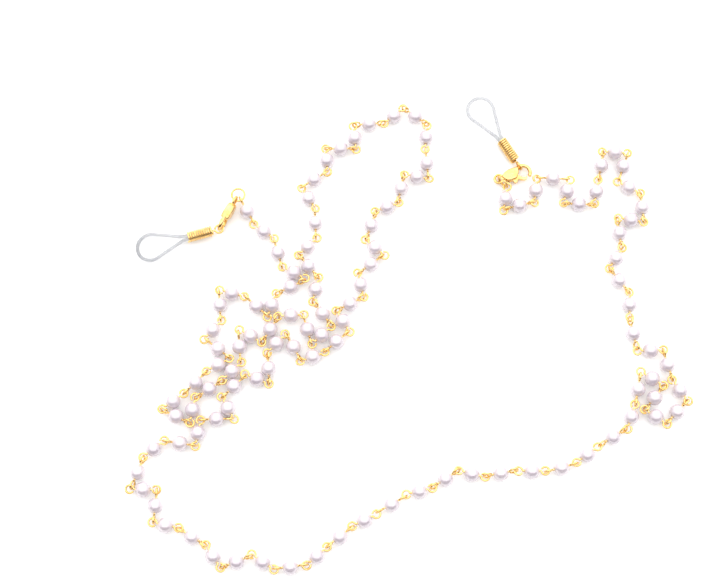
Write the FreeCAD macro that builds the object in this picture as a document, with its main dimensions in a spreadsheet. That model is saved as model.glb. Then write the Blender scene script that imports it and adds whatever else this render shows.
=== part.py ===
import FreeCAD, Part
import os, sys, math
from FreeCAD import Vector, Rotation, Placement

# Beaded eyeglasses chain: round beads on double-loop eye pins, joined ring in
# ring, with a jump ring, a lobster clasp and a coil-gripped temple loop at
# each end.  Millimetres.  The chain lies on the plane z = 0; +X right, +Y away.

doc = FreeCAD.newDocument("eyewear_chain")

# ---------------------------------------------------------------- dimensions
sheet = doc.addObject("Spreadsheet::Sheet", "dims")
DIMS = [
    ("bead_dia", 4.0, "outside diameter of a bead"),
    ("bore_dia", 0.9, "hole through a bead"),
    ("wire_dia", 0.55, "eye pin wire"),
    ("eye_mid_radius", 1.02, "eye pin loop, to the middle of the wire"),
    ("eye_centre", 3.45, "bead centre to loop centre"),
    ("eye_turn", 332, "degrees of loop that the wire makes"),
    ("ring_mid_radius", 1.75, "jump ring, to the middle of the wire"),
    ("ring_wire", 0.6, "jump ring wire"),
    ("ring_turn", 354, "degrees of jump ring that the wire makes"),
    ("tail_mid_radius", 1.15, "clasp tail ring"),
    ("tail_wire", 0.72, "clasp tail ring section"),
    ("bow_mid_radius", 1.9, "clasp hook, to the middle of its section"),
    ("bow_section", 1.16, "clasp hook section"),
    ("hook_turn", 212, "degrees of the hook"),
    ("bow_centre", 7.0, "clasp tail centre to hook centre"),
    ("cheek_thick", 2.3, "clasp body across both cheeks"),
    ("slot_thick", 1.16, "slot between the cheeks"),
    ("lever_thick", 1.0, "clasp lever"),
    ("rivet_dia", 0.7, "clasp rivet"),
    ("rivet_hole", 0.78, "hole in the lever"),
    ("rivet_x", 3.4, "rivet from the tail centre"),
    ("rivet_y", -0.5, "rivet off the clasp's centre line"),
    ("spring_wire", 0.22, "clasp spring wire"),
    ("coil_dia", 3.0, "outside of the coil crimp"),
    ("coil_wire", 0.52, "coil crimp wire"),
    ("coil_pitch", 0.62, "from one turn to the next"),
    ("coil_length", 6.82, "first turn to last"),
    ("coil_start", 1.95, "eye centre to the first turn"),
    ("neck_length", 0.8, "from the eye to the first turn"),
    ("holder_eye_radius", 1.15, "eye on the coil crimp"),
    ("cord_dia", 0.95, "temple loop cord"),
    ("leg_gap", 0.98, "between the cord's two legs in the coil"),
    ("loop_bend", 6.0, "radius where the legs spread"),
    ("loop_spread", 20, "degrees that each leg spreads"),
    ("loop_end", 3.6, "radius of the loop's far end"),
]
for row, (alias, value, note) in enumerate(DIMS, 1):
    sheet.set("A%d" % row, alias)
    sheet.set("B%d" % row, str(value))
    sheet.set("C%d" % row, note)
    sheet.setAlias("B%d" % row, alias)
doc.recompute()


def dim(alias):
    return float(sheet.get(alias))


def bind(obj, **links):
    for prop, expr in links.items():
        obj.setExpression(prop, expr)
    return obj


def origin_plane(body, role):
    return [f for f in body.Origin.OriginFeatures if f.Role == role][0]


def closed_sketch(body, name, points, role="XY_Plane"):
    """A closed outline of straight runs on one of the body's origin planes."""
    sk = body.newObject("Sketcher::SketchObject", name)
    sk.AttachmentSupport = (origin_plane(body, role), "")
    sk.MapMode = "FlatFace"
    n = len(points)
    for i in range(n):
        a, b = points[i], points[(i + 1) % n]
        sk.addGeometry(Part.LineSegment(Vector(a[0], a[1], 0), Vector(b[0], b[1], 0)), False)
    import Sketcher

    for i in range(n):
        sk.addConstraint(Sketcher.Constraint("Coincident", i, 2, (i + 1) % n, 1))
    return sk


def slab(name, points, thick):
    """A pad of an outline, half its thickness each side of the XY plane."""
    body = doc.addObject("PartDesign::Body", name)
    sk = closed_sketch(body, name + "_outline", points)
    pad = body.newObject("PartDesign::Pad", name + "_pad")
    pad.Profile = sk
    pad.SideType = "Symmetric"
    pad.setExpression("Length", thick)
    return body


# ------------------------------------------------------------- bead and pin
ball = bind(doc.addObject("Part::Sphere", "bead_ball"), Radius="dims.bead_dia / 2")
# its poles sit on the bore, so the bore trims them both away
ball.Placement = Placement(Vector(0, 0, 0), Rotation(Vector(0, 1, 0), 90))
drill = bind(
    doc.addObject("Part::Cylinder", "bead_drill"),
    Radius="dims.bore_dia / 2",
    Height="dims.bead_dia + 2",
)
drill.Placement = Placement(Vector(-(dim("bead_dia") / 2 + 1), 0, 0), Rotation(Vector(0, 1, 0), 90))
bead = doc.addObject("Part::Cut", "bead")
bead.Base, bead.Tool = ball, drill

shank = bind(
    doc.addObject("Part::Cylinder", "pin_shank"),
    Radius="dims.wire_dia / 2",
    Height="2 * (dims.eye_centre - dims.eye_mid_radius)",
)
reach = dim("eye_centre") - dim("eye_mid_radius")
shank.Placement = Placement(Vector(-reach, 0, 0), Rotation(Vector(0, 1, 0), 90))
eyes = []
for side, turn in (("near", 0), ("far", 180)):
    eye = bind(
        doc.addObject("Part::Torus", "pin_eye_" + side),
        Radius1="dims.eye_mid_radius",
        Radius2="dims.wire_dia / 2",
        Angle3="dims.eye_turn",
    )
    # the loop starts where the shank meets it and stops short of closing
    if side == "near":
        eye.Placement = Placement(Vector(-dim("eye_centre"), 0, 0), Rotation(Vector(0, 0, 1), 0))
    else:
        eye.Placement = Placement(Vector(dim("eye_centre"), 0, 0), Rotation(Vector(0, 0, 1), 180))
    eyes.append(eye)
pin = doc.addObject("Part::MultiFuse", "eye_pin")
pin.Shapes = [shank] + eyes


# ---------------------------------------------------------------- jump ring
ring = bind(
    doc.addObject("Part::Torus", "jump_ring"),
    Radius1="dims.ring_mid_radius",
    Radius2="dims.ring_wire / 2",
    Angle3="dims.ring_turn",
)
ring.Placement = Placement(Vector(0, 0, 0), Rotation(Vector(0, 0, 1), 93))

# ------------------------------------------------------------ lobster clasp
# X runs from the tail ring to the tip of the hook, Z across the two cheeks
cheeks = slab(
    "clasp_cheeks",
    [
        (0.98, -0.34), (1.30, -0.80), (1.90, -1.32), (2.60, -1.52), (4.20, -1.48),
        (4.80, -1.22), (5.20, -0.80), (5.40, -0.30), (5.80, 0.10), (6.00, 1.50),
        (5.40, 1.82), (4.60, 1.80), (3.40, 1.72), (2.40, 1.50), (1.70, 1.12),
        (1.28, 0.72), (0.98, 0.34),
    ],
    "dims.cheek_thick",
)
slot_outline = closed_sketch(
    cheeks, "clasp_slot_outline",
    [(2.15, -2.2), (6.6, -2.2), (6.6, 0.42), (4.6, 0.98), (2.15, 0.98)],
)
slot = cheeks.newObject("PartDesign::Pocket", "clasp_slot")
slot.Profile = slot_outline
slot.SideType = "Symmetric"
slot.setExpression("Length", "dims.slot_thick")
doc.recompute()

bow_cut = bind(
    doc.addObject("Part::Cylinder", "clasp_bow_clearance"),
    Radius="dims.bow_mid_radius - dims.bow_section / 2",
    Height="dims.cheek_thick + 2",
)
bow_cut.Placement.Base = Vector(dim("bow_centre"), 0, -(dim("cheek_thick") / 2 + 1))
rivet_cut = bind(
    doc.addObject("Part::Cylinder", "clasp_rivet_hole"),
    Radius="dims.rivet_dia / 2 + 0.01",
    Height="dims.cheek_thick + 2",
)
rivet_cut.Placement.Base = Vector(dim("rivet_x"), dim("rivet_y"), -(dim("cheek_thick") / 2 + 1))
cheeks_cut = doc.addObject("Part::Cut", "clasp_cheeks_bored")
cheeks_cut.Base, cheeks_cut.Tool = cheeks, bow_cut
cheeks_drilled = doc.addObject("Part::Cut", "clasp_cheeks_drilled")
cheeks_drilled.Base, cheeks_drilled.Tool = cheeks_cut, rivet_cut

tail = bind(
    doc.addObject("Part::Torus", "clasp_tail_ring"),
    Radius1="dims.tail_mid_radius",
    Radius2="dims.tail_wire / 2",
)
hook = bind(
    doc.addObject("Part::Torus", "clasp_hook"),
    Radius1="dims.bow_mid_radius",
    Radius2="dims.bow_section / 2",
    Angle3="dims.hook_turn",
)
hook.Placement = Placement(Vector(dim("bow_centre"), 0, 0), Rotation(Vector(0, 0, 1), -52))
clasp_body = doc.addObject("Part::MultiFuse", "clasp_body")
clasp_body.Shapes = [cheeks_drilled, tail, hook]

lever_blank = slab(
    "lever_blank",
    [
        (2.62, -0.15), (2.85, 0.22), (3.30, 0.38), (3.95, 0.33), (4.75, -0.08),
        (5.60, -0.58), (5.78, -0.86), (6.02, -1.10), (6.40, -1.34), (6.87, -1.46),
        (7.35, -1.44), (7.66, -1.32), (7.60, -1.68), (7.42, -2.06), (7.10, -2.32),
        (6.70, -2.32), (6.20, -2.18), (5.65, -1.92), (5.12, -1.62), (4.85, -1.80),
        (4.60, -2.36), (4.15, -2.52), (3.72, -2.30), (3.60, -1.80), (3.30, -1.42),
        (2.85, -1.20), (2.60, -0.75),
    ],
    "dims.lever_thick",
)
lever_hole = bind(
    doc.addObject("Part::Cylinder", "lever_hole"),
    Radius="dims.rivet_hole / 2",
    Height="dims.cheek_thick + 2",
)
lever_hole.Placement.Base = Vector(dim("rivet_x"), dim("rivet_y"), -(dim("cheek_thick") / 2 + 1))
lever = doc.addObject("Part::Cut", "clasp_lever")
lever.Base, lever.Tool = lever_blank, lever_hole

rivet = bind(
    doc.addObject("Part::Cylinder", "clasp_rivet"),
    Radius="dims.rivet_dia / 2",
    Height="dims.cheek_thick + 0.06",
)
rivet.Placement.Base = Vector(dim("rivet_x"), dim("rivet_y"), -(dim("cheek_thick") / 2 + 0.03))


def rod(name, a, b, radius):
    """A straight length of round wire from a to b."""
    a, b = Vector(*a), Vector(*b)
    r = bind(doc.addObject("Part::Cylinder", name), Radius=radius)
    r.Height = (b - a).Length
    r.Placement = Placement(a, Rotation(Vector(0, 0, 1), b - a))
    return r


# a bent wire between the slot's roof and the lever's back
fold = (4.10, 0.76, 0)
spring_top = rod("spring_top", (2.42, 0.80, 0), fold, "dims.spring_wire / 2")
spring_leg = rod("spring_leg", (2.95, 0.56, 0), fold, "dims.spring_wire / 2")
spring_fold = bind(doc.addObject("Part::Sphere", "spring_fold"), Radius="dims.spring_wire / 2")
spring_fold.Placement.Base = Vector(*fold)
spring = doc.addObject("Part::MultiFuse", "clasp_spring")
spring.Shapes = [spring_top, spring_leg, spring_fold]

# --------------------------------------------------------------- coil crimp
# X runs from the eye, through the coil, towards the temple loop
helix = bind(
    doc.addObject("Part::Helix", "coil_line"),
    Radius="(dims.coil_dia - dims.coil_wire) / 2",
    Pitch="dims.coil_pitch",
    Height="dims.coil_length",
)
helix.Placement = Placement(Vector(dim("coil_start"), 0, 0), Rotation(Vector(0, 1, 0), 90))
coil_radius = (dim("coil_dia") - dim("coil_wire")) / 2
section = bind(doc.addObject("Part::Circle", "coil_section"), Radius="dims.coil_wire / 2")
doc.recompute()
start = helix.Shape.Edges[0].Vertexes[0].Point
tangent = helix.Shape.Edges[0].tangentAt(helix.Shape.Edges[0].FirstParameter)
section.Placement = Placement(start, Rotation(Vector(0, 0, 1), tangent))
coil = doc.addObject("Part::Sweep", "coil_turns")
coil.Sections = [section]
coil.Spine = (helix, [])
coil.Solid = True
coil.Frenet = True
neck = rod("coil_neck", (dim("holder_eye_radius"), 0, 0), (dim("coil_start"), 0, 0), "dims.coil_wire / 2 - 0.01")
hub = Vector(dim("coil_start"), 0, 0)
spoke = rod("coil_spoke", tuple(hub), tuple(hub + (start - hub) * 1.05), "dims.coil_wire / 2 - 0.01")
holder_eye = bind(
    doc.addObject("Part::Torus", "coil_eye"),
    Radius1="dims.holder_eye_radius",
    Radius2="dims.coil_wire / 2",
)
holder_eye.Placement.Rotation = Rotation(Vector(1, 0, 0), 90)
elbow = bind(doc.addObject("Part::Sphere", "coil_elbow"), Radius="dims.coil_wire / 2 - 0.01")
elbow.Placement = Placement(Vector(dim("coil_start"), 0, 0), Rotation(Vector(1, 0, 0), 45))
stem = doc.addObject("Part::MultiFuse", "coil_stem")
stem.Shapes = [spoke, elbow, neck]
eyed_stem = doc.addObject("Part::Fuse", "coil_eyed_stem")
eyed_stem.Base, eyed_stem.Tool = stem, holder_eye
crimp = doc.addObject("Part::Fuse", "coil_crimp")
crimp.Base, crimp.Tool = coil, eyed_stem

# -------------------------------------------------------------- temple loop
# one length of clear round cord: out of the coil, round and back into it
cord = doc.addObject("PartDesign::Body", "temple_loop")
x_in = dim("coil_start") + 0.42
x_out = dim("coil_start") + dim("coil_length") + 0.2
half = dim("leg_gap") / 2
spread = math.radians(dim("loop_spread"))
bend, end = dim("loop_bend"), dim("loop_end")
x1, y1 = x_out + bend * math.sin(spread), half + bend * (1 - math.cos(spread))
run = (end * math.cos(spread) - y1) / math.sin(spread)
x2, y2 = x1 + run * math.cos(spread), y1 + run * math.sin(spread)
xc = x2 + end * math.sin(spread)
mid = spread / 2
path = cord.newObject("Sketcher::SketchObject", "temple_loop_path")
path.AttachmentSupport = (origin_plane(cord, "XY_Plane"), "")
path.MapMode = "FlatFace"


def arc3(a, b, c):
    return Part.Arc(Vector(a[0], a[1], 0), Vector(b[0], b[1], 0), Vector(c[0], c[1], 0))


bend_mid = (x_out + bend * math.sin(mid), half + bend * (1 - math.cos(mid)))
for g in [
    Part.LineSegment(Vector(x_in, half, 0), Vector(x_out, half, 0)),
    arc3((x_out, half), bend_mid, (x1, y1)),
    Part.LineSegment(Vector(x1, y1, 0), Vector(x2, y2, 0)),
    arc3((x2, y2), (xc + end, 0), (x2, -y2)),
    Part.LineSegment(Vector(x2, -y2, 0), Vector(x1, -y1, 0)),
    arc3((x1, -y1), (bend_mid[0], -bend_mid[1]), (x_out, -half)),
    Part.LineSegment(Vector(x_out, -half, 0), Vector(x_in, -half, 0)),
]:
    path.addGeometry(g, False)
ring_end = cord.newObject("Sketcher::SketchObject", "temple_loop_section")
ring_end.AttachmentSupport = (origin_plane(cord, "YZ_Plane"), "")
ring_end.MapMode = "FlatFace"
ring_end.AttachmentOffset = Placement(Vector(0, 0, x_in), Rotation())
ring_end.addGeometry(Part.Circle(Vector(half, 0, 0), Vector(0, 0, 1), dim("cord_dia") / 2), False)
doc.recompute()
pipe = cord.newObject("PartDesign::AdditivePipe", "temple_loop_pipe")
pipe.Profile = ring_end
pipe.Spine = (path, ["Edge%d" % (i + 1) for i in range(7)])
doc.recompute()
length = sum(e.Length for e in path.Shape.Edges)
print("temple cord: length %.2f mm, swept volume / (section x length) = %.4f" % (
    length, pipe.Shape.Volume / (math.pi * dim("cord_dia") ** 2 / 4 * length)))
print("temple cord radii: %.2f mm and %.2f mm" % (bend, end))

# each link: x, y, heading of its pin and roll about the pin, in degrees
LINKS = [
    (26.223, 35.202, -99.57, 0.0),
    (29.980, 33.283, 14.54, 90.0),
    (34.538, 37.507, 83.61, 21.8),
    (39.354, 41.086, -2.68, 105.9),
    (43.017, 37.316, -107.53, 0.0),
    (46.109, 33.685, -2.64, 90.0),
    (50.963, 37.168, 79.99, -18.0),
    (52.577, 44.677, 79.72, 68.2),
    (56.570, 48.596, -3.62, 0.0),
    (58.694, 44.449, -110.61, 90.0),
    (59.903, 38.446, -27.45, 0.0),
    (63.192, 32.719, -84.86, 123.2),
    (60.010, 29.146, 170.55, 0.0),
    (56.679, 25.397, -84.79, 68.4),
    (55.406, 18.352, -122.84, 0.0),
    (56.066, 12.168, -53.76, 90.0),
    (58.497, 5.469, -92.33, -18.8),
    (59.075, -2.352, -79.50, 63.3),
    (63.400, -6.947, 2.59, 0.0),
    (67.730, -10.832, -75.86, 90.0),
    (70.589, -17.702, -55.27, 14.7),
    (69.448, -23.388, -134.08, 74.8),
    (63.838, -24.666, 146.02, 0.0),
    (63.763, -19.671, 49.77, 113.9),
    (63.439, -14.538, 146.90, 0.0),
    (59.537, -17.376, -101.86, 90.0),
    (57.440, -24.668, -108.64, 20.2),
    (52.438, -29.974, -147.85, 113.6),
    (45.558, -34.574, -144.06, 19.9),
    (38.764, -37.938, -164.89, 90.0),
    (31.116, -38.802, -179.35, 0.0),
    (23.058, -39.383, -169.30, 107.9),
    (15.624, -39.560, 165.79, 17.6),
    (8.733, -40.855, -146.83, 111.0),
    (1.992, -44.047, -166.40, 0.0),
    (-5.188, -47.383, -150.95, 90.0),
    (-12.166, -51.427, -153.96, 0.0),
    (-18.440, -55.606, -142.03, 73.2),
    (-24.243, -60.501, -137.70, -16.8),
    (-30.941, -63.161, -172.90, 90.0),
    (-37.919, -61.942, 146.59, 0.0),
    (-44.634, -61.860, -158.32, 107.4),
    (-50.575, -60.517, 123.84, 17.1),
    (-56.114, -55.630, 148.74, 65.4),
    (-62.959, -52.673, 168.64, 0.0),
    (-65.745, -47.771, 85.86, 90.0),
    (-69.045, -43.581, 179.22, -14.4),
    (-70.655, -39.196, 70.36, 72.9),
    (-66.720, -33.074, 39.22, 0.0),
    (-59.977, -31.641, -8.55, 90.0),
    (-55.360, -28.996, 80.92, 16.3),
    (-50.691, -25.285, 2.40, 104.7),
    (-47.755, -22.401, 121.12, 16.9),
    (-46.333, -16.636, 45.14, 90.0),
    (-40.323, -14.642, -22.25, 0.0),
    (-37.334, -11.807, 93.29, 109.4),
    (-35.408, -5.119, 47.92, 17.5),
    (-30.816, -6.066, -59.86, 105.7),
    (-25.709, -8.703, 20.88, -21.5),
    (-19.477, -4.627, 41.41, 90.0),
    (-17.759, 0.954, 122.56, 0.0),
    (-15.920, 5.737, 28.97, 70.7),
    (-13.059, 10.951, 104.17, 14.3),
    (-10.401, 16.664, 37.59, 90.0),
    (-9.224, 21.380, 140.49, 0.0),
    (-10.255, 27.558, 71.90, 72.3),
    (-5.954, 32.837, 19.77, -14.3),
    (-2.130, 38.161, 78.97, 67.4),
    (2.257, 41.576, -10.71, -15.1),
    (5.015, 45.367, 94.11, 90.0),
    (4.908, 52.917, 84.61, 0.0),
    (2.009, 59.214, 142.60, 107.9),
    (-4.009, 59.266, -137.85, 16.7),
    (-10.787, 56.902, -175.92, 109.9),
    (-14.739, 52.808, -82.60, 0.0),
    (-18.570, 49.698, 179.89, 90.0),
    (-22.406, 46.249, -84.80, 14.4),
    (-25.757, 40.725, -146.92, 68.0),
    (-27.229, 35.306, -55.90, -20.0),
    (-25.322, 28.271, -87.56, 90.0),
    (-27.323, 21.625, -135.82, 0.0),
    (-27.029, 16.136, -50.17, 118.2),
    (-25.052, 9.693, -103.29, 0.0),
    (-23.186, 3.069, -54.17, 62.7),
    (-23.408, -2.852, -136.20, -14.1),
    (-27.218, -1.304, 106.25, 90.0),
    (-31.607, 2.556, -176.07, 0.0),
    (-37.056, -1.284, -120.51, 111.6),
    (-42.227, -3.055, 149.92, 0.0),
    (-45.068, -6.005, -84.56, 90.0),
    (-46.906, -12.567, -135.68, 0.0),
    (-52.744, -17.375, -146.43, 107.3),
    (-56.950, -22.898, -98.96, 0.0),
    (-61.234, -24.564, 153.40, 113.3),
    (-62.133, -20.553, 36.77, 0.0),
    (-56.443, -15.583, 46.07, 90.0),
    (-50.649, -10.848, 28.96, -15.6),
    (-50.787, -6.501, 141.59, 90.0),
    (-52.231, -1.417, 48.91, 21.2),
    (-50.564, 5.339, 95.06, 90.0),
    (-47.371, 8.650, -14.83, 0.0),
    (-40.843, 5.128, -41.59, 90.0),
    (-36.734, 5.344, 71.10, 15.6),
    (-31.848, 10.363, 27.41, 72.9),
    (-30.982, 14.363, 152.70, 0.0),
    (-35.322, 19.879, 106.13, 90.0),
    (-39.143, 25.894, 144.61, 0.0),
    (-43.791, 31.670, 119.13, 90.0),
]
# links in each run that moves as one piece
RUNS = [5, 4, 6, 4, 6, 5, 5, 5, 5, 4, 5, 6, 4, 6, 5, 5, 6, 4, 5, 6, 4, 3]
# where each end fitting sits: its origin, its X direction and its Z direction
SEATS = {
    "jump_ring_a": ((25.6555, 39.9314, 2.0500), (-0.65170, 0.75848, 0.00000), (0.75848, 0.65170, -0.00000)),
    "clasp_a": ((24.6414, 41.1116, 1.3000), (0.96126, 0.27564, 0.00000), (0.00000, 0.00000, 1.00000)),
    "holder_a": ((30.2733, 44.7965, 1.5000), (-0.52992, 0.84805, 0.00000), (0.00000, 0.00000, 1.00000)),
    "temple_loop_a": ((30.2733, 44.7965, 1.5000), (-0.52992, 0.84805, 0.00000), (0.00000, 0.00000, 1.00000)),
    "jump_ring_b": ((-46.3221, 36.2121, 2.2500), (-0.48678, 0.87353, 0.00000), (0.00000, 0.00000, 1.00000)),
    "clasp_b": ((-47.1989, 34.4145, 2.5200), (-0.43837, -0.89879, 0.00000), (-0.89879, 0.43837, 0.00000)),
    "holder_b": ((-51.2168, 26.3862, 2.6700), (-0.96583, -0.24081, -0.09585), (-0.24192, 0.97030, 0.00000)),
    "temple_loop_b": ((-51.2168, 26.3862, 2.6700), (-0.96583, -0.24081, -0.09585), (-0.09300, -0.02319, 0.99540)),
}


def seat(name):
    """The placement that puts a fitting's own frame on its seat."""
    o, ex, ez = (Vector(*v) for v in SEATS[name])
    return Placement(o, Rotation(ex, ez.cross(ex), ez, "XYZ"))


def copy_of(master, name, where):
    link = doc.addObject("App::Link", name)
    link.LinkedObject = master
    link.LinkPlacement = where
    return link


def node(name, copies):
    group = doc.addObject("Part::Compound", name)
    group.Label = name
    group.Links = copies
    return group


def pose(master, where):
    return where.multiply(master.Placement)


NODES = []
for s in ("a", "b"):
    NODES.append(node("jump_ring_" + s, [copy_of(ring, "ring_at_" + s, pose(ring, seat("jump_ring_" + s)))]))
    at = seat("clasp_" + s)
    for master, label in (
        (clasp_body, "clasp_body_"), (lever, "clasp_lever_"), (rivet, "clasp_rivet_"), (spring, "clasp_spring_"),
    ):
        NODES.append(node(label + s, [copy_of(master, label + "at_" + s, pose(master, at))]))
    NODES.append(node("coil_crimp_" + s, [copy_of(crimp, "crimp_at_" + s, seat("holder_" + s))]))
    NODES.append(node("temple_loop_" + s, [copy_of(cord, "cord_at_" + s, seat("temple_loop_" + s))]))

first = 0
for n, count in enumerate(RUNS, 1):
    beads, pins = [], []
    for k in range(first, first + count):
        x, y, heading, roll = LINKS[k]
        where = Placement(
            Vector(x, y, dim("bead_dia") / 2),
            Rotation(Vector(0, 0, 1), heading).multiply(Rotation(Vector(1, 0, 0), roll)),
        )
        beads.append(copy_of(bead, "bead_%03d" % (k + 1), where))
        pins.append(copy_of(pin, "pin_%03d" % (k + 1), where))
    NODES.append(node("beads_%02d" % n, beads))
    NODES.append(node("eye_pins_%02d" % n, pins))
    first += count

doc.recompute()

bad = []
for obj in doc.Objects:
    if any(word in obj.State for word in ("Invalid", "Error")):
        bad.append("%s is %s" % (obj.Name, obj.State))
for group in NODES:
    shape = group.Shape
    if shape.isNull() or not shape.isValid() or not shape.Solids:
        bad.append(group.Label + " has no valid solid")
if bad:
    print("\n".join(bad))
    sys.exit(1)

os.makedirs("parts", exist_ok=True)
for group in NODES:
    group.Shape.exportStep("parts/%s.step" % group.Label)
print("%d nodes, %d solids" % (len(NODES), sum(len(g.Shape.Solids) for g in NODES)))
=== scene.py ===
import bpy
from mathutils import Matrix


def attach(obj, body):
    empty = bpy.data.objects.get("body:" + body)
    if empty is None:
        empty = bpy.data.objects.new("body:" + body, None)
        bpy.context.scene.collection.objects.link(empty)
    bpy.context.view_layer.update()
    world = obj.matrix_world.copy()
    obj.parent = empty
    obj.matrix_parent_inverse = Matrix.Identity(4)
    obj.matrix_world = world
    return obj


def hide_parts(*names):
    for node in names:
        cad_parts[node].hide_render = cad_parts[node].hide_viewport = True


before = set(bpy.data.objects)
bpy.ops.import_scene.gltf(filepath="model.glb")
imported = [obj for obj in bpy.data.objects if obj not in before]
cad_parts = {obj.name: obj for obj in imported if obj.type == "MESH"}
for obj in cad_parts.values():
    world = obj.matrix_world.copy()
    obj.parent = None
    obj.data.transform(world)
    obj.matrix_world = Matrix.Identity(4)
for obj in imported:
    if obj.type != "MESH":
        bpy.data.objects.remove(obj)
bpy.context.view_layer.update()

import math

import bpy
import numpy as np
from mathutils import Matrix, Vector

MM = 0.001

# each link: x, y, heading of its pin and roll about the pin, in mm and degrees
LINKS = [
    (26.223, 35.202, -99.57, 0.0),
    (29.980, 33.283, 14.54, 90.0),
    (34.538, 37.507, 83.61, 21.8),
    (39.354, 41.086, -2.68, 105.9),
    (43.017, 37.316, -107.53, 0.0),
    (46.109, 33.685, -2.64, 90.0),
    (50.963, 37.168, 79.99, -18.0),
    (52.577, 44.677, 79.72, 68.2),
    (56.570, 48.596, -3.62, 0.0),
    (58.694, 44.449, -110.61, 90.0),
    (59.903, 38.446, -27.45, 0.0),
    (63.192, 32.719, -84.86, 123.2),
    (60.010, 29.146, 170.55, 0.0),
    (56.679, 25.397, -84.79, 68.4),
    (55.406, 18.352, -122.84, 0.0),
    (56.066, 12.168, -53.76, 90.0),
    (58.497, 5.469, -92.33, -18.8),
    (59.075, -2.352, -79.50, 63.3),
    (63.400, -6.947, 2.59, 0.0),
    (67.730, -10.832, -75.86, 90.0),
    (70.589, -17.702, -55.27, 14.7),
    (69.448, -23.388, -134.08, 74.8),
    (63.838, -24.666, 146.02, 0.0),
    (63.763, -19.671, 49.77, 113.9),
    (63.439, -14.538, 146.90, 0.0),
    (59.537, -17.376, -101.86, 90.0),
    (57.440, -24.668, -108.64, 20.2),
    (52.438, -29.974, -147.85, 113.6),
    (45.558, -34.574, -144.06, 19.9),
    (38.764, -37.938, -164.89, 90.0),
    (31.116, -38.802, -179.35, 0.0),
    (23.058, -39.383, -169.30, 107.9),
    (15.624, -39.560, 165.79, 17.6),
    (8.733, -40.855, -146.83, 111.0),
    (1.992, -44.047, -166.40, 0.0),
    (-5.188, -47.383, -150.95, 90.0),
    (-12.166, -51.427, -153.96, 0.0),
    (-18.440, -55.606, -142.03, 73.2),
    (-24.243, -60.501, -137.70, -16.8),
    (-30.941, -63.161, -172.90, 90.0),
    (-37.919, -61.942, 146.59, 0.0),
    (-44.634, -61.860, -158.32, 107.4),
    (-50.575, -60.517, 123.84, 17.1),
    (-56.114, -55.630, 148.74, 65.4),
    (-62.959, -52.673, 168.64, 0.0),
    (-65.745, -47.771, 85.86, 90.0),
    (-69.045, -43.581, 179.22, -14.4),
    (-70.655, -39.196, 70.36, 72.9),
    (-66.720, -33.074, 39.22, 0.0),
    (-59.977, -31.641, -8.55, 90.0),
    (-55.360, -28.996, 80.92, 16.3),
    (-50.691, -25.285, 2.40, 104.7),
    (-47.755, -22.401, 121.12, 16.9),
    (-46.333, -16.636, 45.14, 90.0),
    (-40.323, -14.642, -22.25, 0.0),
    (-37.334, -11.807, 93.29, 109.4),
    (-35.408, -5.119, 47.92, 17.5),
    (-30.816, -6.066, -59.86, 105.7),
    (-25.709, -8.703, 20.88, -21.5),
    (-19.477, -4.627, 41.41, 90.0),
    (-17.759, 0.954, 122.56, 0.0),
    (-15.920, 5.737, 28.97, 70.7),
    (-13.059, 10.951, 104.17, 14.3),
    (-10.401, 16.664, 37.59, 90.0),
    (-9.224, 21.380, 140.49, 0.0),
    (-10.255, 27.558, 71.90, 72.3),
    (-5.954, 32.837, 19.77, -14.3),
    (-2.130, 38.161, 78.97, 67.4),
    (2.257, 41.576, -10.71, -15.1),
    (5.015, 45.367, 94.11, 90.0),
    (4.908, 52.917, 84.61, 0.0),
    (2.009, 59.214, 142.60, 107.9),
    (-4.009, 59.266, -137.85, 16.7),
    (-10.787, 56.902, -175.92, 109.9),
    (-14.739, 52.808, -82.60, 0.0),
    (-18.570, 49.698, 179.89, 90.0),
    (-22.406, 46.249, -84.80, 14.4),
    (-25.757, 40.725, -146.92, 68.0),
    (-27.229, 35.306, -55.90, -20.0),
    (-25.322, 28.271, -87.56, 90.0),
    (-27.323, 21.625, -135.82, 0.0),
    (-27.029, 16.136, -50.17, 118.2),
    (-25.052, 9.693, -103.29, 0.0),
    (-23.186, 3.069, -54.17, 62.7),
    (-23.408, -2.852, -136.20, -14.1),
    (-27.218, -1.304, 106.25, 90.0),
    (-31.607, 2.556, -176.07, 0.0),
    (-37.056, -1.284, -120.51, 111.6),
    (-42.227, -3.055, 149.92, 0.0),
    (-45.068, -6.005, -84.56, 90.0),
    (-46.906, -12.567, -135.68, 0.0),
    (-52.744, -17.375, -146.43, 107.3),
    (-56.950, -22.898, -98.96, 0.0),
    (-61.234, -24.564, 153.40, 113.3),
    (-62.133, -20.553, 36.77, 0.0),
    (-56.443, -15.583, 46.07, 90.0),
    (-50.649, -10.848, 28.96, -15.6),
    (-50.787, -6.501, 141.59, 90.0),
    (-52.231, -1.417, 48.91, 21.2),
    (-50.564, 5.339, 95.06, 90.0),
    (-47.371, 8.650, -14.83, 0.0),
    (-40.843, 5.128, -41.59, 90.0),
    (-36.734, 5.344, 71.10, 15.6),
    (-31.848, 10.363, 27.41, 72.9),
    (-30.982, 14.363, 152.70, 0.0),
    (-35.322, 19.879, 106.13, 90.0),
    (-39.143, 25.894, 144.61, 0.0),
    (-43.791, 31.670, 119.13, 90.0),
]
# links in each run that moves as one piece
RUNS = [5, 4, 6, 4, 6, 5, 5, 5, 5, 4, 5, 6, 4, 6, 5, 5, 6, 4, 5, 6, 4, 3]
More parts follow.
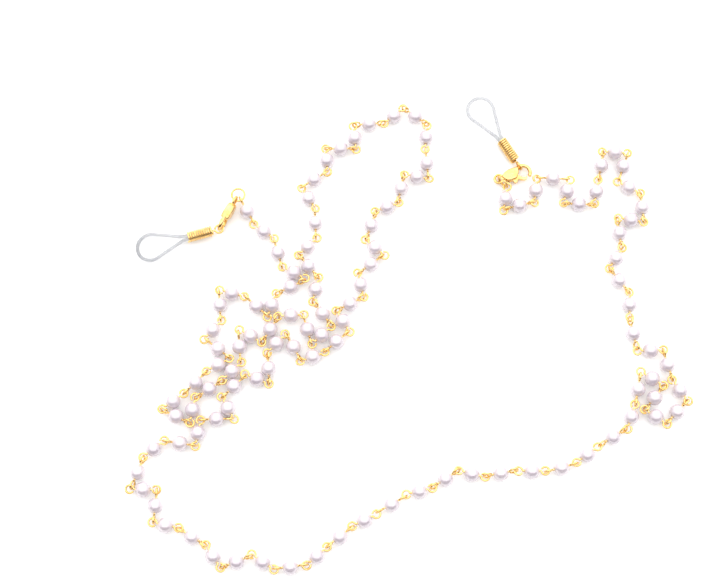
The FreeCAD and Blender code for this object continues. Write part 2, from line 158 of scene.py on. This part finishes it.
# where each end fitting sits: its origin, its X direction and its Z direction
SEATS = {
    "jump_ring_a": ((25.6555, 39.9314, 2.0500), (-0.65170, 0.75848, 0.00000), (0.75848, 0.65170, -0.00000)),
    "clasp_a": ((24.6414, 41.1116, 1.3000), (0.96126, 0.27564, 0.00000), (0.00000, 0.00000, 1.00000)),
    "holder_a": ((30.2733, 44.7965, 1.5000), (-0.52992, 0.84805, 0.00000), (0.00000, 0.00000, 1.00000)),
    "temple_loop_a": ((30.2733, 44.7965, 1.5000), (-0.52992, 0.84805, 0.00000), (0.00000, 0.00000, 1.00000)),
    "jump_ring_b": ((-46.3221, 36.2121, 2.2500), (-0.48678, 0.87353, 0.00000), (0.00000, 0.00000, 1.00000)),
    "clasp_b": ((-47.1989, 34.4145, 2.5200), (-0.43837, -0.89879, 0.00000), (-0.89879, 0.43837, 0.00000)),
    "holder_b": ((-51.2168, 26.3862, 2.6700), (-0.96583, -0.24081, -0.09585), (-0.24192, 0.97030, 0.00000)),
    "temple_loop_b": ((-51.2168, 26.3862, 2.6700), (-0.96583, -0.24081, -0.09585), (-0.09300, -0.02319, 0.99540)),
}
COIL_START, COIL_HAND = (1.95, 0.0, -1.24), 1


# ------------------------------------------------------------------ materials
def new_material(name):
    m = bpy.data.materials.new(name)
    m.use_nodes = True
    nt = m.node_tree
    b = nt.nodes["Principled BSDF"]
    return m, nt, b


def noise(nt, scale, detail=3.0, rough=0.55):
    tc = nt.nodes.new("ShaderNodeTexCoord")
    n = nt.nodes.new("ShaderNodeTexNoise")
    n.inputs["Scale"].default_value = scale
    n.inputs["Detail"].default_value = detail
    n.inputs["Roughness"].default_value = rough
    nt.links.new(tc.outputs["Object"], n.inputs["Vector"])
    return n


def ramp(nt, src, stops):
    r = nt.nodes.new("ShaderNodeValToRGB")
    while len(r.color_ramp.elements) < len(stops):
        r.color_ramp.elements.new(0.5)
    for e, (pos, col) in zip(r.color_ramp.elements, stops):
        e.position = pos
        e.color = (*col, 1.0)
    nt.links.new(src, r.inputs["Fac"])
    return r


def spread(nt, src, lo, hi, a, b):
    r = nt.nodes.new("ShaderNodeMapRange")
    r.inputs["From Min"].default_value = lo
    r.inputs["From Max"].default_value = hi
    r.inputs["To Min"].default_value = a
    r.inputs["To Max"].default_value = b
    nt.links.new(src, r.inputs["Value"])
    return r


def bump(nt, b, src, strength, distance):
    n = nt.nodes.new("ShaderNodeBump")
    n.inputs["Strength"].default_value = strength
    n.inputs["Distance"].default_value = distance
    nt.links.new(src, n.inputs["Height"])
    nt.links.new(n.outputs["Normal"], b.inputs["Normal"])


def pearl_material():
    m, nt, b = new_material("pearl_coat")
    wide = noise(nt, 170.0, 1.0)
    col = ramp(nt, wide.outputs["Fac"], [(0.30, (0.550, 0.480, 0.535)), (0.52, (0.590, 0.520, 0.565)), (0.72, (0.615, 0.535, 0.570))])
    nt.links.new(col.outputs["Color"], b.inputs["Base Color"])
    fine = noise(nt, 2600.0, 4.0)
    r = spread(nt, fine.outputs["Fac"], 0.3, 0.7, 0.13, 0.20)
    nt.links.new(r.outputs["Result"], b.inputs["Roughness"])
    bump(nt, b, fine.outputs["Fac"], 0.08, 0.00002)
    b.inputs["IOR"].default_value = 2.00
    b.inputs["Coat Weight"].default_value = 1.0
    b.inputs["Coat Roughness"].default_value = 0.055
    b.inputs["Coat IOR"].default_value = 1.90
    b.inputs["Sheen Weight"].default_value = 0.5
    b.inputs["Sheen Roughness"].default_value = 0.35
    b.inputs["Sheen Tint"].default_value = (1.0, 0.80, 0.92, 1.0)
    return m


def gold_material(name, pale, deep, rough_lo, rough_hi, scale):
    m, nt, b = new_material(name)
    wide = noise(nt, scale, 3.0)
    col = ramp(nt, wide.outputs["Fac"], [(0.32, deep), (0.62, pale)])
    nt.links.new(col.outputs["Color"], b.inputs["Base Color"])
    b.inputs["Metallic"].default_value = 1.0
    fine = noise(nt, scale * 7.0, 4.0)
    r = spread(nt, fine.outputs["Fac"], 0.3, 0.7, rough_lo, rough_hi)
    nt.links.new(r.outputs["Result"], b.inputs["Roughness"])
    bump(nt, b, fine.outputs["Fac"], 0.18, 0.00002)
    return m


def silicone_material():
    m, nt, b = new_material("clear_silicone_skin")
    wide = noise(nt, 420.0, 2.0)
    col = ramp(nt, wide.outputs["Fac"], [(0.3, (0.60, 0.61, 0.63)), (0.7, (0.70, 0.71, 0.72))])
    nt.links.new(col.outputs["Color"], b.inputs["Base Color"])
    r = spread(nt, wide.outputs["Fac"], 0.3, 0.7, 0.10, 0.20)
    nt.links.new(r.outputs["Result"], b.inputs["Roughness"])
    b.inputs["IOR"].default_value = 1.41
    b.inputs["Transmission Weight"].default_value = 0.78
    return m


def floor_material():
    m, nt, b = new_material("pale_sweep")
    wide = noise(nt, 14.0, 2.0)
    col = ramp(nt, wide.outputs["Fac"], [(0.3, (0.925, 0.925, 0.925)), (0.7, (0.94, 0.94, 0.94))])
    nt.links.new(col.outputs["Color"], b.inputs["Base Color"])
    b.inputs["Roughness"].default_value = 0.9
    return m


PEARL = pearl_material()
WIRE = gold_material("gold_wire", (0.96, 0.69, 0.30), (0.78, 0.49, 0.15), 0.10, 0.20, 900.0)
CAST = gold_material("gold_casting", (0.94, 0.67, 0.29), (0.76, 0.47, 0.15), 0.14, 0.26, 600.0)
CLEAR = silicone_material()
FLOOR = floor_material()


# ------------------------------------------------------------------ mesh code
def turn(axis, degrees):
    return np.array(Matrix.Rotation(math.radians(degrees), 3, axis))


def seat(name):
    o, ex, ez = (np.array(v, float) for v in SEATS[name])
    ex /= np.linalg.norm(ex)
    ez = ez - ex * (ez @ ex)
    ez /= np.linalg.norm(ez)
    return np.column_stack([ex, np.cross(ez, ex), ez]), o


def placed(part, where):
    v, f = part
    m, o = where
    return v @ m.T + o, f


def joined(parts):
    vs, fs, n = [], [], 0
    for v, f in parts:
        vs.append(v)
        fs += [tuple(i + n for i in q) for q in f]
        n += len(v)
    return np.vstack(vs), fs


def grid_faces(n, m, wrap_n=False, wrap_m=True):
    """Quads between n rings of m points."""
    f = []
    for i in range(n if wrap_n else n - 1):
        a, b = i * m, ((i + 1) % n) * m
        for j in range(m if wrap_m else m - 1):
            k = (j + 1) % m
            f.append((a + j, a + k, b + k, b + j))
    return f


def sweep(path, radius, seg=14, cap=0.35):
    """Round wire along a polyline, with rounded cut ends."""
    p = np.asarray(path, float)
    t = np.gradient(p, axis=0)
    t /= np.linalg.norm(t, axis=1)[:, None]
    up = np.array([0, 0, 1.0]) if abs(t[0][2]) < 0.9 else np.array([1.0, 0, 0])
    n = up - t[0] * (up @ t[0])
    n /= np.linalg.norm(n)
    rings, r = [], np.broadcast_to(np.asarray(radius, float), (len(p),))
    ang = np.arange(seg) * 2 * math.pi / seg
    ends = [(math.sin(a), 1 - math.cos(a)) for a in (0.25, 0.8, 1.25)]
    for i in range(len(p)):
        n = n - t[i] * (n @ t[i])
        n /= np.linalg.norm(n)
        b = np.cross(t[i], n)
        circle = np.outer(np.cos(ang), n) + np.outer(np.sin(ang), b)
        if i == 0:
            c = cap * r[0]
            for s, d in ends:
                rings.append(p[0] + t[0] * c * d + circle * (r[0] - c + c * s))
        if 0 < i < len(p) - 1:
            rings.append(p[i] + circle * r[i])
        if i == len(p) - 1:
            c = cap * r[-1]
            for s, d in reversed(ends):
                rings.append(p[-1] - t[-1] * c * d + circle * (r[-1] - c + c * s))
    m = len(rings)
    v = np.vstack(rings)
    f = grid_faces(m, seg)
    f = [q[::-1] for q in f]
    v = np.vstack([v, p[0], p[-1]])
    a, b = m * seg, m * seg + 1
    for j in range(seg):
        k = (j + 1) % seg
        f.append((a, j, k))
        f.append((b, (m - 1) * seg + k, (m - 1) * seg + j))
    return v, [q[::-1] for q in f]


def arc(cx, cy, r, a0, a1, n, z=0.0):
    a = np.radians(np.linspace(a0, a1, n))
    return np.column_stack([cx + r * np.cos(a), cy + r * np.sin(a), np.full(n, z)])


def smooth_path(p, keep=0, times=8):
    p = np.array(p, float)
    for _ in range(times):
        q = p.copy()
        q[1:-1] = 0.25 * p[:-2] + 0.5 * p[1:-1] + 0.25 * p[2:]
        p = q
    return p


def lathe_x(profile, seg):
    """A closed outline of (x, r) points turned about X."""
    a = np.arange(seg) * 2 * math.pi / seg
    rings = [np.column_stack([np.full(seg, x), r * np.cos(a), r * np.sin(a)]) for x, r in profile]
    return np.vstack(rings), grid_faces(len(profile), seg, wrap_n=True)


def build(name, part, material, body, slot, *nodes):
    v, f = part
    mesh = bpy.data.meshes.new(name)
    mesh.from_pydata((v * MM).tolist(), [], f)
    mesh.materials.append(material)
    mesh.polygons.foreach_set("use_smooth", [True] * len(mesh.polygons))
    mesh.update()
    o = bpy.data.objects.new(name, mesh)
    bpy.context.scene.collection.objects.link(o)
    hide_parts(*nodes)
    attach(o, body)
    return o


# --------------------------------------------------- solids from a distance field
def poly_distance(x, y, pts):
    """Signed distance from an outline, negative inside."""
    pts = np.asarray(pts, float)
    d = np.full(x.shape, 1e9)
    inside = np.zeros(x.shape, bool)
    for a, b in zip(pts, np.roll(pts, -1, axis=0)):
        e = b - a
        wx, wy = x - a[0], y - a[1]
        t = np.clip((wx * e[0] + wy * e[1]) / (e @ e), 0, 1)
        d = np.minimum(d, (wx - e[0] * t) ** 2 + (wy - e[1] * t) ** 2)
        cross = ((a[1] > y) != (b[1] > y)) & (
            x < (b[0] - a[0]) * (y - a[1]) / ((b[1] - a[1]) if b[1] != a[1] else 1e-12) + a[0]
        )
        inside ^= cross
    d = np.sqrt(d)
    return np.where(inside, -d, d)


def rounded_corners(pts, times=2):
    p = np.asarray(pts, float)
    for _ in range(times):
        q = np.roll(p, -1, axis=0)
        p = np.column_stack([0.8 * p + 0.2 * q, 0.2 * p + 0.8 * q]).reshape(-1, 2)
    return p


def extruded(d2, z, half, r):
    qx, qz = d2 + r, np.abs(z) - (half - r)
    return np.minimum(np.maximum(qx, qz), 0) + np.hypot(np.maximum(qx, 0), np.maximum(qz, 0)) - r


def smin(a, b, k):
    h = np.clip(0.5 + 0.5 * (b - a) / k, 0, 1)
    return b + (a - b) * h - k * h * (1 - h)


def smax(a, b, k):
    return -smin(-a, -b, k)


def surface(field, lo, step):
    """Quads through the zero of a sampled field, one point in each cell that the surface crosses."""
    neg = field < 0
    nx, ny, nz = field.shape
    cell = (nx - 1, ny - 1, nz - 1)
    total = np.zeros(cell + (3,))
    count = np.zeros(cell)
    base = np.stack(np.meshgrid(*[np.arange(c) for c in cell], indexing="ij"), -1).astype(float)
    corners = [(i, j, k) for i in (0, 1) for j in (0, 1) for k in (0, 1)]

    def at(a, c):
        return a[c[0]:c[0] + cell[0], c[1]:c[1] + cell[1], c[2]:c[2] + cell[2]]

    for c in corners:
        for ax in range(3):
            if c[ax]:
                continue
            d = list(c)
            d[ax] = 1
            f0, f1 = at(field, c), at(field, d)
            hit = at(neg, c) != at(neg, d)
            t = np.where(hit, f0 / np.where(hit, f0 - f1, 1), 0)
            for k in range(3):
                total[..., k] += np.where(hit, base[..., k] + c[k] + (t if k == ax else 0), 0)
            count += hit
    used = count > 0
    index = np.full(cell, -1)
    index[used] = np.arange(used.sum())
    v = total[used] / count[used][:, None]
    v = v * step + np.asarray(lo)
    quads = []
    for ax in range(3):
        b, c = (ax + 1) % 3, (ax + 2) % 3
        s0 = [slice(None)] * 3
        s1 = [slice(None)] * 3
        s0[ax], s1[ax] = slice(0, -1), slice(1, None)
        flip = neg[tuple(s0)] != neg[tuple(s1)]
        ids = np.argwhere(flip)
        ok = (ids[:, b] > 0) & (ids[:, c] > 0) & (ids[:, b] < field.shape[b] - 1) & (ids[:, c] < field.shape[c] - 1)
        ids = ids[ok]
        q = []
        for db, dc in ((-1, -1), (0, -1), (0, 0), (-1, 0)):
            i = ids.copy()
            i[:, b] += db
            i[:, c] += dc
            q.append(index[i[:, 0], i[:, 1], i[:, 2]])
        q = np.column_stack(q)
        inward = neg[tuple(s0)][ids[:, 0], ids[:, 1], ids[:, 2]]
        q = np.where(inward[:, None], q, q[:, ::-1])
        quads.append(q)
    return v, np.vstack(quads)


def relax(v, q, times, amount=0.5):
    n = len(v)
    e = np.vstack([q[:, [0, 1]], q[:, [1, 2]], q[:, [2, 3]], q[:, [3, 0]]])
    e = np.vstack([e, e[:, ::-1]])
    deg = np.bincount(e[:, 0], minlength=n).astype(float)
    for i in range(times * 2):
        s = np.column_stack([np.bincount(e[:, 0], weights=v[e[:, 1], k], minlength=n) for k in range(3)])
        w = amount if i % 2 == 0 else -amount * 1.04
        v = v + w * (s / deg[:, None] - v)
    return v


def samples(lo, hi, step):
    ax = [np.arange(l, h + step, step) for l, h in zip(lo, hi)]
    return np.meshgrid(*ax, indexing="ij")


def clasp_body_part():
    lo, hi, step = (-1.7, -2.75, -1.35), (9.8, 2.75, 1.35), 0.06
    x, y, z = samples(lo, hi, step)
    x2, y2 = x[:, :, 0], y[:, :, 0]
    cheeks = rounded_corners([
        (0.98, -0.34), (1.30, -0.80), (1.90, -1.32), (2.60, -1.52), (4.20, -1.48),
        (4.80, -1.22), (5.20, -0.80), (5.40, -0.30), (5.80, 0.10), (6.00, 1.50),
        (5.40, 1.82), (4.60, 1.80), (3.40, 1.72), (2.40, 1.50), (1.70, 1.12),
        (1.28, 0.72), (0.98, 0.34),
    ])
    d = extruded(poly_distance(x2, y2, cheeks)[:, :, None], z, 1.15, 0.52)
    mouth = [(2.15, -2.4), (6.8, -2.4), (6.8, 0.42), (4.6, 0.98), (2.15, 0.98)]
    cut = extruded(poly_distance(x2, y2, mouth)[:, :, None], z, 0.58, 0.02)
    bow = np.hypot(x - 7.0, y) - 1.32
    d = smax(d, -bow, 0.16)
    hook_t = (np.degrees(np.arctan2(y, x - 7.0)) + 52) % 360
    hook_r = 0.505 + 0.07 * np.clip(hook_t / 212, 0, 1)
    hook = np.hypot(np.hypot(x - 7.0, y) - 1.9, z) - hook_r
    e0, e1 = math.radians(-52), math.radians(166)
    # keep the turn from -52 to 166 degrees: two half planes through the hook's centre
    h0 = (x - 7.0) * math.sin(e0) - y * math.cos(e0)
    h1 = -(x - 7.0) * math.sin(e1) + y * math.cos(e1)
    gap = np.minimum(np.maximum(h0, -1e9), np.maximum(h1, -1e9))
    hook = smax(hook, gap, 0.30)
    d = smin(d, hook, 0.30)
    tail = np.hypot(np.hypot(x, y) - 1.15, z) - 0.355
    d = smin(d, tail, 0.26)
    d = smax(d, -cut, 0.08)
    hole = np.hypot(x - 3.4, y + 0.5) - 0.36
    d = smax(d, -hole, 0.04)
    v, q = surface(d, lo, step)
    return relax(v, q, 3), [tuple(r) for r in q.tolist()]


def lever_part():
    lo, hi, step = (2.3, -2.8, -0.65), (8.0, 0.7, 0.65), 0.05
    x, y, z = samples(lo, hi, step)
    outline = rounded_corners([
        (2.62, -0.15), (2.85, 0.22), (3.30, 0.38), (3.95, 0.33), (4.75, -0.08),
        (5.60, -0.58), (5.78, -0.86), (6.02, -1.10), (6.40, -1.34), (6.87, -1.46),
        (7.35, -1.44), (7.66, -1.32), (7.60, -1.68), (7.42, -2.06), (7.10, -2.32),
        (6.70, -2.32), (6.20, -2.18), (5.65, -1.92), (5.12, -1.62), (4.85, -1.80),
        (4.60, -2.36), (4.15, -2.52), (3.72, -2.30), (3.60, -1.80), (3.30, -1.42),
        (2.85, -1.20), (2.60, -0.75),
    ])
    d2 = poly_distance(x[:, :, 0], y[:, :, 0], outline)
    d = extruded(d2[:, :, None], z, 0.5, 0.16)
    d = smax(d, -(np.hypot(x - 3.4, y + 0.5) - 0.39), 0.04)
    v, q = surface(d, lo, step)
    return relax(v, q, 2), [tuple(r) for r in q.tolist()]


def rivet_part():
    """Turned about Z with two low domed heads."""
    prof = [(0.0, 1.18), (0.10, 1.178), (0.20, 1.168), (0.29, 1.145), (0.335, 1.11), (0.35, 1.07), (0.35, 0.4), (0.35, -0.4),
            (0.35, -1.07), (0.335, -1.11), (0.29, -1.145), (0.20, -1.168), (0.10, -1.178), (0.0, -1.18)]
    seg = 36
    a = np.arange(seg) * 2 * math.pi / seg
    inner = prof[1:-1]
    v = [np.column_stack([r * np.cos(a), r * np.sin(a), np.full(seg, z)]) for r, z in inner]
    f = [q[::-1] for q in grid_faces(len(inner), seg)]
    v = np.vstack(v + [np.array([[0, 0, 1.18], [0, 0, -1.18]])])
    top, bottom, last = len(inner) * seg, len(inner) * seg + 1, (len(inner) - 1) * seg
    for j in range(seg):
        k = (j + 1) % seg
        f.append((top, j, k))
        f.append((bottom, last + k, last + j))
    return v + np.array([3.4, -0.5, 0.0]), f


def spring_part():
    top = np.linspace((2.42, 0.80, 0), (3.98, 0.78, 0), 12)
    fold = arc(4.0, 0.69, 0.09, 85, -80, 12)
    leg = np.linspace((3.97, 0.60, 0), (2.95, 0.555, 0), 12)
    return sweep(smooth_path(np.vstack([top, fold, leg]), times=2), 0.11, 10)


def pin_part():
    """One length of wire: loop, bend, shank through the bead, bend, loop."""
    R, c, rf = 1.02, 3.45, 0.35
    dx = math.sqrt((R + rf) ** 2 - rf ** 2)
    xf = c - dx
    psi = math.degrees(math.atan2(rf, dx))
    bend = arc(xf, -rf, rf, 90, psi, 8)
    loop = arc(c, 0.0, R, 180 + psi, 512, 58)
    half = np.vstack([np.linspace((0.0, 0, 0), (xf, 0, 0), 8)[:-1], bend[:-1], loop])
    other = half.copy()
    other[:, :2] *= -1
    return sweep(np.vstack([other[::-1], half[1:]]), 0.272, 14)


def bead_part():
    R = 1.995
    a = np.radians(np.linspace(16, 164, 40))
    outer = [(R * math.cos(t), R * math.sin(t)) for t in a]
    lip = [(1.905, 0.505), (1.875, 0.475), (1.83, 0.458)]
    prof = outer + [(-x, r) for x, r in lip] + [(-0.9, 0.456), (0.0, 0.456), (0.9, 0.456)] + lip[::-1]
    v, f = lathe_x(prof, 48)
    return v, [q[::-1] for q in f]


def ring_part():
    return sweep(arc(0, 0, 1.75, 93, 93 + 354, 96), 0.298, 16, cap=0.2)


def crimp_part():
    """One wire: eye, neck, then eleven touching turns round the cord's legs."""
    r, pitch, x0, length = 1.24, 0.62, 1.95, 6.82
    a = np.radians(np.linspace(12, 352, 64))
    eye = np.column_stack([1.15 * np.cos(a), np.zeros(64), 1.15 * np.sin(a)])
    neck = np.linspace((1.24, 0, 0.0), (1.86, 0, 0), 10)
    start = COIL_START
    out = np.linspace((1.93, 0.0, 0), (1.95, start[1] * 0.97, start[2] * 0.97), 12)
    turns = length / pitch
    n = int(turns * 40)
    s = np.linspace(0.01, turns, n)
    a0 = math.atan2(start[2], start[1])
    coil = np.column_stack([x0 + pitch * s, r * np.cos(a0 + COIL_HAND * 2 * math.pi * s), r * np.sin(a0 + COIL_HAND * 2 * math.pi * s)])
    path = np.vstack([eye, neck, out, coil])
    seg = np.linalg.norm(np.diff(path, axis=0), axis=1)
    s = np.concatenate([[0], np.cumsum(seg)])
    even = np.arange(0, s[-1], 0.16)
    path = np.column_stack([np.interp(even, s, path[:, k]) for k in range(3)])
    soft = smooth_path(path, times=6)
    # only the corner between the eye and the coil is softened
    end = int((s[64 + 22 + 6]) / 0.16)
    w = np.clip((end + 6 - np.arange(len(path))) / 6.0, 0, 1)[:, None]
    path = soft * w + path * (1 - w)
    return sweep(path, 0.256, 12, cap=0.25)


def temple_part():
    x_in, x_out, half, spread_a, bend, end = 2.37, 8.97, 0.49, math.radians(20), 6.0, 3.6
    x1, y1 = x_out + bend * math.sin(spread_a), half + bend * (1 - math.cos(spread_a))
    run = (end * math.cos(spread_a) - y1) / math.sin(spread_a)
    x2, y2 = x1 + run * math.cos(spread_a), y1 + run * math.sin(spread_a)
    xc = x2 + end * math.sin(spread_a)
    leg = np.linspace((x_in, half, 0), (x_out, half, 0), 24)
    a = np.linspace(0, spread_a, 14)[1:]
    flare = np.column_stack([x_out + bend * np.sin(a), half + bend * (1 - np.cos(a)), 0 * a])
    side = np.linspace((x1, y1, 0), (x2, y2, 0), 16)[1:]
    b = np.linspace(math.pi / 2 + spread_a, 0, 40)[1:]
    tip = np.column_stack([xc + end * np.cos(b), end * np.sin(b), 0 * b])
    upper = np.vstack([leg, flare, side, tip])
    lower = upper[::-1][1:].copy()
    lower[:, 1] *= -1
    return sweep(np.vstack([upper, lower]), 0.474, 18, cap=0.12)


# -------------------------------------------------------------- pearls and pins
rng = np.random.default_rng(41)
BEAD, PIN = bead_part(), pin_part()
first = 0
for n, count in enumerate(RUNS, 1):
    beads, pins = [], []
    for k in range(first, first + count):
        x, y, heading, roll = LINKS[k]
        m = turn("Z", heading) @ turn("X", roll)
        o = np.array([x, y, 2.0])
        size = np.diag([rng.uniform(0.988, 1.0), *rng.uniform(0.990, 1.0, 2)])
        beads.append(placed(BEAD, (m @ turn("X", rng.uniform(0, 360)) @ size, o)))
        pins.append(placed(PIN, (m, o)))
    body = "run_%02d" % n
    build("pearls_%02d" % n, joined(beads), PEARL, body, "pearl", "beads_%02d" % n)
    build("wire_pins_%02d" % n, joined(pins), WIRE, body, "plated_wire", "eye_pins_%02d" % n)
    first += count

# ----------------------------------------------------------------- end fittings
CLASP, LEVER, RIVET, SPRING, RING, CRIMP, TEMPLE = (
    clasp_body_part(), lever_part(), rivet_part(), spring_part(), ring_part(), crimp_part(), temple_part(),
)
for s in ("a", "b"):
    build("jump_link_" + s, placed(RING, seat("jump_ring_" + s)), WIRE, "jump_ring_" + s, "plated_wire", "jump_ring_" + s)
    at = seat("clasp_" + s)
    build("lobster_body_" + s, placed(CLASP, at), CAST, "clasp_" + s, "plated_casting", "clasp_body_" + s)
    build("lobster_lever_" + s, placed(LEVER, at), CAST, "clasp_lever_" + s, "plated_casting", "clasp_lever_" + s)
    build("lobster_rivet_" + s, placed(RIVET, at), CAST, "clasp_" + s, "plated_casting", "clasp_rivet_" + s)
    build("lobster_spring_" + s, placed(SPRING, at), WIRE, "clasp_" + s, "plated_wire", "clasp_spring_" + s)
    build("wound_crimp_" + s, placed(CRIMP, seat("holder_" + s)), WIRE, "loop_holder_" + s, "plated_wire", "coil_crimp_" + s)
    build("clear_loop_" + s, placed(TEMPLE, seat("temple_loop_" + s)), CLEAR, "loop_holder_" + s, "clear_silicone", "temple_loop_" + s)

# ------------------------------------------------------------------------ stage
mesh = bpy.data.meshes.new("floor")
mesh.from_pydata([(-2.0, -0.55, 0), (2.0, -0.55, 0), (2.0, 2.5, 0), (-2.0, 2.5, 0)], [], [(0, 1, 2, 3)])
mesh.materials.append(FLOOR)
floor = bpy.data.objects.new("floor", mesh)
bpy.context.scene.collection.objects.link(floor)

world = bpy.data.worlds.new("studio")
bpy.context.scene.world = world
world.use_nodes = True
back = world.node_tree.nodes["Background"]
back.inputs["Color"].default_value = (0.92, 0.84, 0.94, 1.0)
back.inputs["Strength"].default_value = 0.10


def softbox(name, where, look, w, h, power, colour=(1, 1, 1)):
    light = bpy.data.lights.new(name, "AREA")
    light.shape = "RECTANGLE"
    light.size, light.size_y = w, h
    light.energy = power
    light.color = colour
    o = bpy.data.objects.new(name, light)
    o.location = where
    o.rotation_euler = (Vector(look) - Vector(where)).to_track_quat("-Z", "Y").to_euler()
    bpy.context.scene.collection.objects.link(o)


softbox("overhead", (0.0, 0.22, 0.95), (0.0, 0.22, 0), 2.4, 2.1, 31.5)
softbox("far_wall", (0.0, 1.5, 0.56), (0, 0, 0.05), 3.0, 1.1, 20.0)
softbox("left_wall", (-1.3, 0.2, 0.5), (0, 0, 0.05), 1.6, 0.9, 5.5)
softbox("right_wall", (1.3, 0.2, 0.5), (0, 0, 0.05), 1.6, 0.9, 5.5)

cam = bpy.data.cameras.new("camera")
cam.lens = 71.25
cam.sensor_width = 36.0
cam.sensor_fit = "HORIZONTAL"
cam.clip_start = 0.005
camera = bpy.data.objects.new("camera", cam)
camera.location = (-0.0132508, -0.0895159, 0.369052)
camera.rotation_euler = (math.radians(15), 0, 0)
bpy.context.scene.collection.objects.link(camera)
bpy.context.scene.camera = camera
bpy.context.scene.view_settings.view_transform = "Standard"
